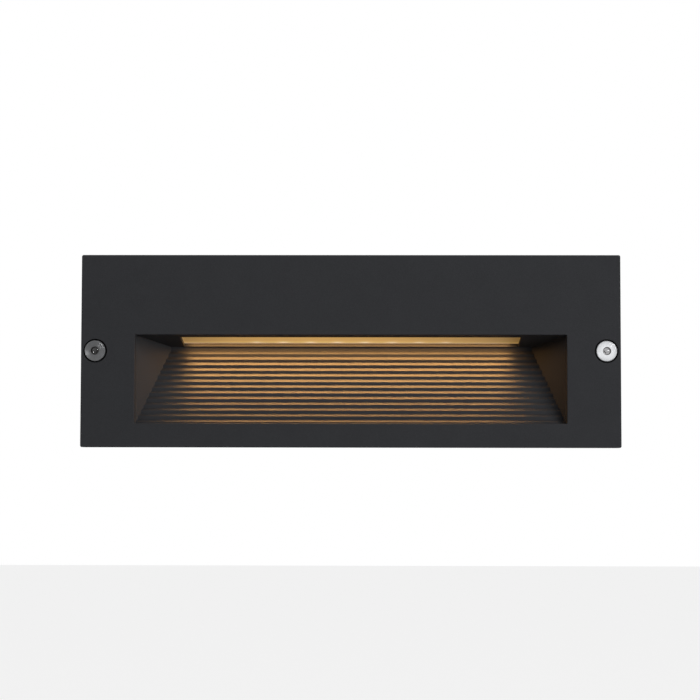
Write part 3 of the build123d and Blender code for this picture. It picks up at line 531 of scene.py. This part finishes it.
SKINS = {
    "black_rubber": dict(
        grain=0.5 * MM, depth=0.012 * MM, speckle=0.15, mottle=0.3, roughness=0.72, specular=0.3
    ),
    "grey_silicone": dict(
        grain=0.8 * MM, depth=0.010 * MM, speckle=0.06, mottle=0.15, roughness=0.45
    ),
    "white_plastic": dict(
        grain=0.6 * MM, depth=0.006 * MM, speckle=0.04, mottle=0.05, roughness=0.38
    ),
    "board_white": dict(
        grain=0.3 * MM, depth=0.004 * MM, speckle=0.05, mottle=0.05, roughness=0.32
    ),
    "thermal_pad": dict(
        grain=0.35 * MM, depth=0.02 * MM, speckle=0.3, mottle=0.2, roughness=0.8, specular=0.3
    ),
    "driver_black": dict(
        grain=0.7 * MM, depth=0.03 * MM, speckle=0.2, mottle=0.2, roughness=0.48
    ),
    "terminal_grey": dict(
        grain=0.6 * MM, depth=0.008 * MM, speckle=0.05, mottle=0.08, roughness=0.4
    ),
    "black_nylon": dict(
        grain=0.6 * MM, depth=0.018 * MM, speckle=0.15, mottle=0.25, roughness=0.5
    ),
    "zinc_steel": dict(
        grain=0.9 * MM, depth=0.004 * MM, speckle=0.12, mottle=0.35, roughness=0.3, metallic=1.0
    ),
    "stainless": dict(
        grain=0.7 * MM, depth=0.003 * MM, speckle=0.10, mottle=0.25, roughness=0.27, metallic=1.0
    ),
    "brass": dict(
        grain=0.7 * MM, depth=0.003 * MM, speckle=0.12, mottle=0.3, roughness=0.28, metallic=1.0
    ),
    "tinned_copper": dict(
        grain=0.5 * MM, depth=0.008 * MM, speckle=0.2, mottle=0.4, roughness=0.36, metallic=1.0
    ),
    # Thin coat over a sand-rough casting.
    "housing_coat": dict(
        grain=1.1 * MM, depth=0.07 * MM, speckle=0.20, mottle=0.25, roughness=0.52, specular=0.40
    ),
    # The screws' socket walls, not a slot of their own: their dark colour is painted shade for the
    # hexagon recess.
    "pressed_socket": dict(
        grain=0.3 * MM, depth=0.006 * MM, speckle=0.25, mottle=0.3, roughness=0.42, metallic=1.0,
        color=SOCKET_SHADE_COLOR,
    ),
}

finishes = {name: skin(name, **look) for name, look in SKINS.items()}
finishes["powder_coat"] = make_powder_coat(
    "powder_coat", depth=0.012 * MM, speckle=0.32, mottle=0.12
)
finishes["bare_aluminium"] = drawn(
    "bare_aluminium", line=0.22 * MM, contrast=0.30, roughness=0.36
)
finishes["frosted_lens"] = make_frosted_lens()
finishes["led_phosphor"] = make_led_phosphor()
finishes["led_lead_sheath"] = make_led_lead_sheath()
finishes["supply_lead_sheath"] = make_supply_lead_sheath()
finishes["earth_lead_sheath"] = make_earth_lead_sheath()


def dress(piece, material):
    """Gives a piece one finish all over."""
    piece.data.materials.clear()
    piece.data.materials.append(material)


for node, piece in nodes.items():
    dress(piece, finishes[slot_of[node]])
well_coat = make_powder_coat("well_coat", depth=0.004 * MM, speckle=0.14, mottle=0.05)
dress(nodes["light_well"], well_coat)
dress(nodes["lens_gasket"], make_lit_silicone())


# ---- The face screws -----------------------------------------------------------------------------
def lathe(name, centre, along, radius):
    """A closed solid round an axis along Y, with a point of the axis at each end.

    along and radius are grids of rings by angles: a point lies at the centre's X and Z plus its
    radius times the cosine and sine of its angle, and at its own Y. A ring may be hexagonal or
    climb a helix. The faces run ring by ring, then come the triangles of the first and last end.
    """
    rings, steps = radius.shape
    angle = np.arange(steps) * 2 * np.pi / steps
    grid = [centre.x + radius * np.cos(angle), along, centre.z + radius * np.sin(angle)]
    ends = [(centre.x, along[0].mean(), centre.z), (centre.x, along[-1].mean(), centre.z)]
    points = np.concatenate([np.stack(grid, axis=-1).reshape(-1, 3), ends])
    here = np.arange(steps)
    following = (here + 1) % steps
    near = np.arange(rings - 1)[:, None] * steps
    far = near + steps
    corners = [near + here, far + here, far + following, near + following]
    sides = np.stack(corners, axis=-1).reshape(-1, 4)
    first = np.stack([np.full(steps, rings * steps), here, following], axis=-1)
    row = (rings - 1) * steps
    last = np.stack([np.full(steps, rings * steps + 1), row + following, row + here], axis=-1)
    mesh = bpy.data.meshes.new(name)
    mesh.from_pydata(points.tolist(), [], sides.tolist() + first.tolist() + last.tolist())
    mesh.update()
    piece = bpy.data.objects.new(name, mesh)
    bpy.context.scene.collection.objects.link(piece)
    return piece


def hexagon(across, angle):
    """The radius of a hexagon at each angle: half its width over the cosine to the nearest flat."""
    return across / 2 / np.cos((angle + np.pi / 6) % (np.pi / 3) - np.pi / 6)


def head_rings(front, head_r, angle):
    """The head's rings from the middle of the drilled floor to the shank, as Y and radius by angle.

    They climb the drilled cone and the six walls, cross the chamfer and the flat, follow the crown,
    which is an arc of a sphere, and its rounded rim, and end under the head. With them come the
    numbers of rings in the cone and in the whole socket.
    """
    rings = []

    def ring(y, radius):
        rings.append((np.full(SCREW_ANGLES, y), radius * np.ones(SCREW_ANGLES)))

    wall = hexagon(SCREW_SOCKET, angle)
    floor = front + SCREW_SOCKET_DEPTH
    for share in CONE_SHARES:
        ring(floor + SCREW_DRILL_CONE * (1 - share), share * SCREW_SOCKET / 2)
    ring(floor, SCREW_DRILL_R)
    cone_rings = len(rings)
    for height, width in WALL_RINGS:
        ring(floor + (front + SCREW_MOUTH - floor) * height, width * wall)
    mouth = SCREW_SOCKET / math.sqrt(3) + SCREW_MOUTH
    for share in MOUTH_SHARES:
        ring(front + SCREW_MOUTH * (1 - share), wall + (mouth - wall) * share)
    socket_rings = len(rings)
    ring(front, mouth + MOUTH_LAND)

    # The rim turns from the crown's slope, which is the lean, to the head's side.
    rim_r = head_r - SCREW_RIM
    lean = math.asin((rim_r + SCREW_RIM * rim_r / SCREW_CROWN_R) / SCREW_CROWN_R)
    crown_end = rim_r + SCREW_RIM * math.sin(lean)
    flat_sag = math.sqrt(SCREW_CROWN_R ** 2 - SCREW_FLAT ** 2)
    for radius in np.linspace(SCREW_FLAT, crown_end, CROWN_RINGS):
        ring(front + flat_sag - math.sqrt(SCREW_CROWN_R ** 2 - radius ** 2), radius)
    rim_y = rings[-1][0][0] + SCREW_RIM * math.cos(lean)
    for turn in np.linspace(lean, math.pi / 2, RIM_RINGS)[1:]:
        ring(rim_y - SCREW_RIM * math.cos(turn), rim_r + SCREW_RIM * math.sin(turn))
    seat = front + SCREW_HEAD
    ring(seat - SCREW_EDGE, head_r)
    ring(seat, head_r - SCREW_EDGE)
    ring(seat, SCREW_R + SCREW_FILLET_OUT)
    ring(seat + SCREW_FILLET_DOWN, SCREW_R)
    return rings, cone_rings, socket_rings


def thread_rings(seat, tip, angle):
    """The shank's rings down to the pointed tip, as Y and radius by angle.

    The groove is a triangle wave of (depth / pitch + angle), cut off at both ends, which fades in
    under the head. Near the tip the radius is also kept inside a cone.
    """
    step = THREAD_PITCH / THREAD_STEPS
    depths = np.arange(seat + THREAD_START, tip - THREAD_END, step)[:, None]
    phase = (depths / THREAD_PITCH + angle / (2 * np.pi)) % 1.0
    groove = np.clip(GROOVE_PEAK - GROOVE_SLOPE * np.abs(phase - 0.5), 0.0, 1.0)
    fade = np.clip((depths - depths[0]) / THREAD_RUNOUT, 0.0, 1.0)
    point = SCREW_R - np.clip(depths - (tip - SCREW_POINT), 0.0, None)
    shank = np.minimum(SCREW_R - THREAD_DEPTH * groove * fade, point)
    y = np.vstack([np.broadcast_to(depths, shank.shape), np.full((1, SCREW_ANGLES), tip)])
    return y, np.vstack([shank, np.full((1, SCREW_ANGLES), SCREW_R - SCREW_POINT)])


def face_screw(name, node):
    """Button head with a hexagon socket on a threaded shank, turned about its node's axis."""
    low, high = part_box(node)
    centre = (low + high) / 2
    front, tip = low.y, high.y
    angle = np.arange(SCREW_ANGLES) * 2 * np.pi / SCREW_ANGLES
    head, cone_rings, socket_rings = head_rings(front, (high.x - low.x) / 2, angle)
    thread_y, thread_r = thread_rings(front + SCREW_HEAD, tip, angle)
    along = np.vstack([np.array([y for y, _ in head]), thread_y])
    radius = np.vstack([np.array([r for _, r in head]), thread_r])
    piece = lathe(name, centre, along, radius)
    piece.data.set_sharp_from_angle(angle=SCREW_SHARP)

    steel = turned(
        name + "_steel", SCREW_COLOR, centre, ring=0.06 * MM, contrast=0.18, roughness=0.41
    )
    # Darker steel as painted shade in the socket's floor, smooth so that it mirrors the glint
    # lamps.
    drilled = turned(
        name + "_drilled_shaded", DRILLED_SHADE_COLOR, centre, ring=0.1 * MM, contrast=0.1, roughness=0.12
    )
    dress(piece, steel)
    piece.data.materials.append(finishes["pressed_socket"])
    piece.data.materials.append(drilled)
    cone_faces = (cone_rings - 1) * SCREW_ANGLES
    socket_faces = (socket_rings - 1) * SCREW_ANGLES
    # Index 1 gives the socket walls their painted shade, index 2 gives the drilled cone its
    # darkened steel.
    finish = np.zeros(len(piece.data.polygons), dtype=np.int32)
    finish[cone_faces:socket_faces] = 1
    finish[:cone_faces] = 2
    finish[-2 * SCREW_ANGLES:-SCREW_ANGLES] = 2    # the triangles in the middle of the cone
    piece.data.polygons.foreach_set("material_index", finish)
    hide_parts(node)
    return piece


screws = {}
for side in ("left", "right"):
    screws[side] = face_screw(side + "_button_screw", side + "_face_screw")
    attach(screws[side], side + "_screw")


# ---- The LEDs' light under the lens --------------------------------------------------------------
def lens_face():
    """The lens's lower face: its middle, and its normal into the well."""
    mesh = nodes["lens"].data
    below = [face for face in mesh.polygons if face.normal.z < LENS_DOWN]
    normal = sum((face.normal * face.area for face in below), Vector()).normalized()
    corners = np.array([mesh.vertices[i].co for face in below for i in face.vertices])
    return Vector((corners.min(axis=0) + corners.max(axis=0)) / 2), normal


def area_lamp(name, size, power, color=WHITE[:3]):
    """A rectangular lamp, not yet placed."""
    lamp = bpy.data.lights.new(name, "AREA")
    lamp.shape = "RECTANGLE"
    lamp.size, lamp.size_y = size
    lamp.energy = power
    lamp.color = color
    piece = bpy.data.objects.new(name, lamp)
    bpy.context.scene.collection.objects.link(piece)
    piece.visible_camera = False
    return piece


def led_lamp(name, depth, back, drop, power, spread):
    """Warm light from a strip back from the lens's middle, and under the lens by the drop."""
    middle, normal = lens_face()
    across = Vector((1.0, 0.0, 0.0))
    backwards = across.cross(normal)
    lamp = area_lamp(name, (2 * GLOW_HALF, depth), power, GLOW_COLOR)
    lamp.data.spread = spread
    stand = middle + normal * drop + across * GLOW_ASIDE + backwards * back
    turn = Matrix((across, backwards, -normal)).transposed().to_4x4()
    lamp.matrix_world = Matrix.Translation(stand) @ turn
    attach(lamp, "front")


for name, lamp in LED_LAMPS.items():
    led_lamp(name, **lamp)


# ---- Floor, studio and lamps ---------------------------------------------------------------------
def seen_level(tree, back, band):
    """The white background's strength where it is seen.

    Camera and glass see all of it, metal mirrors it dimmed in front of the object, and light that
    only falls on things gets none of it. back is how far a point or a direction lies behind the
    object, and over the band the mirrored level goes from the dim one to the full one.
    """
    path = add(tree, "LightPath").outputs
    behind = smooth_step(tree, back, band, STUDIO_FRONT, 1.0)
    mirrored = maths(tree, "MULTIPLY", path["Is Glossy Ray"], behind)
    plain = maths(tree, "MAXIMUM", path["Is Camera Ray"], path["Is Transmission Ray"])
    return maths(tree, "MAXIMUM", plain, mirrored)


def make_floor():
    """A pale floor that keeps the object's shadow and otherwise reads as the white background."""
    mesh = bpy.data.meshes.new("floor")
    signs = ((-1, -1), (1, -1), (1, 1), (-1, 1))
    corners = [(x * FLOOR_HALF, y * FLOOR_HALF, FLOOR_LEVEL) for x, y in signs]
    mesh.from_pydata(corners, [], [(0, 1, 2, 3)])
    floor = bpy.data.objects.new("floor", mesh)
    bpy.context.scene.collection.objects.link(floor)
    material = blank("pale_floor")
    tree, shader = material.node_tree, shader_of(material)
    glossy = add(tree, "LightPath").outputs["Is Glossy Ray"]
    dimmed = tuple(FLOOR_MIRRORED * part for part in FLOOR_COLOR[:3]) + (1.0,)
    fill(tree, shader, {
        "Base Color": mixed(tree, glossy, FLOOR_COLOR, dimmed),
        "Roughness": FLOOR_ROUGHNESS,
        "Specular IOR Level": FLOOR_SPECULAR,
    })
    seen = seen_level(tree, split(tree, own_place(tree))["Y"], (-FLOOR_DIM, FLOOR_DIM))
    lift = add(tree, "Emission", {"Strength": maths(tree, "MULTIPLY", seen, FLOOR_LIFT)})
    both = add(tree, "AddShader", {0: shader.outputs[0], 1: lift.outputs[0]})
    fill(tree, tree.nodes["Material Output"], {"Surface": both.outputs[0]})
    mesh.materials.append(material)


def make_studio():
    """White behind the object, a dim room in front of it, and soft light mostly from behind."""
    world = bpy.data.worlds.new("studio")
    bpy.context.scene.world = world
    world.use_nodes = True
    tree = world.node_tree
    back = split(tree, add(tree, "TexCoord").outputs["Generated"])["Y"]
    seen = seen_level(tree, back, STUDIO_BAND)
    ambient = smooth_step(tree, back, AMBIENT_BAND, AMBIENT_FRONT, AMBIENT_BACK)
    strength = maths(tree, "MAXIMUM", seen, ambient)
    fill(tree, tree.nodes["Background"], {"Strength": strength, "Color": WHITE})


def make_softbox(name, stand, size, power, target=(0.0, 0.0, 0.0)):
    """A square softbox that faces the target."""
    lamp = area_lamp(name, (size, size), power)
    lamp.location = stand
    lamp.rotation_euler = (Vector(target) - Vector(stand)).to_track_quat("-Z", "Y").to_euler()
    return lamp


def light_only(lamp, piece):
    """Keeps a lamp's light to this piece."""
    lit = bpy.data.collections.new(lamp.name + "_pieces")
    lit.objects.link(piece)
    lamp.light_linking.receiver_collection = lit


def make_screw_lights():
    """What the polished heads mirror: a softbox for the right one alone, and two small lamps each.

    The softbox stands where the head, as a flat mirror, throws the camera's line of sight, and the
    small lamps where two sides of the drilled cone in the socket's floor throw it.
    """
    lean = math.atan2(SCREW_DRILL_CONE, SCREW_SOCKET / 2)
    for side, screw in screws.items():
        low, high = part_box(side + "_face_screw")
        head = Vector(((low.x + high.x) / 2, low.y, (low.z + high.z) / 2))
        sight = (head - Vector(CAMERA_PLACE)).normalized()
        if side == "right":
            stand = head + SCREW_BOX_REACH * sight.reflect(Vector((0.0, 1.0, 0.0)))
            softbox = make_softbox("screw_softbox", stand, SCREW_BOX_SIZE, SCREW_BOX_POWER, head)
            light_only(softbox, screw)
        for degrees, power in GLINT_POWERS.items():
            angle = math.radians(degrees)
            right, up = math.sin(lean) * math.cos(angle), math.sin(lean) * math.sin(angle)
            stand = head + GLINT_REACH * sight.reflect(Vector((right, -math.cos(lean), up)))
            glint = make_softbox(f"{side}_glint_{degrees}", stand, GLINT_SIZE, power, head)
            light_only(glint, screw)


def make_camera():
    """The photograph's camera."""
    lens = bpy.data.cameras.new("camera")
    lens.lens = CAMERA_LENS
    lens.sensor_width = SENSOR_WIDTH
    camera = bpy.data.objects.new("camera", lens)
    bpy.context.scene.collection.objects.link(camera)
    camera.matrix_world = (
        Matrix.Translation(CAMERA_PLACE)
        @ Matrix.Rotation(CAMERA_YAW, 4, "Z")
        @ Matrix.Rotation(math.pi / 2 + CAMERA_PITCH, 4, "X")
        @ Matrix.Rotation(CAMERA_ROLL, 4, "Z")
    )
    bpy.context.scene.camera = camera


make_floor()
make_studio()
for name, softbox in SOFTBOXES.items():
    make_softbox(name, **softbox).visible_glossy = False
make_screw_lights()
make_camera()
bpy.context.scene.view_settings.view_transform = "Standard"
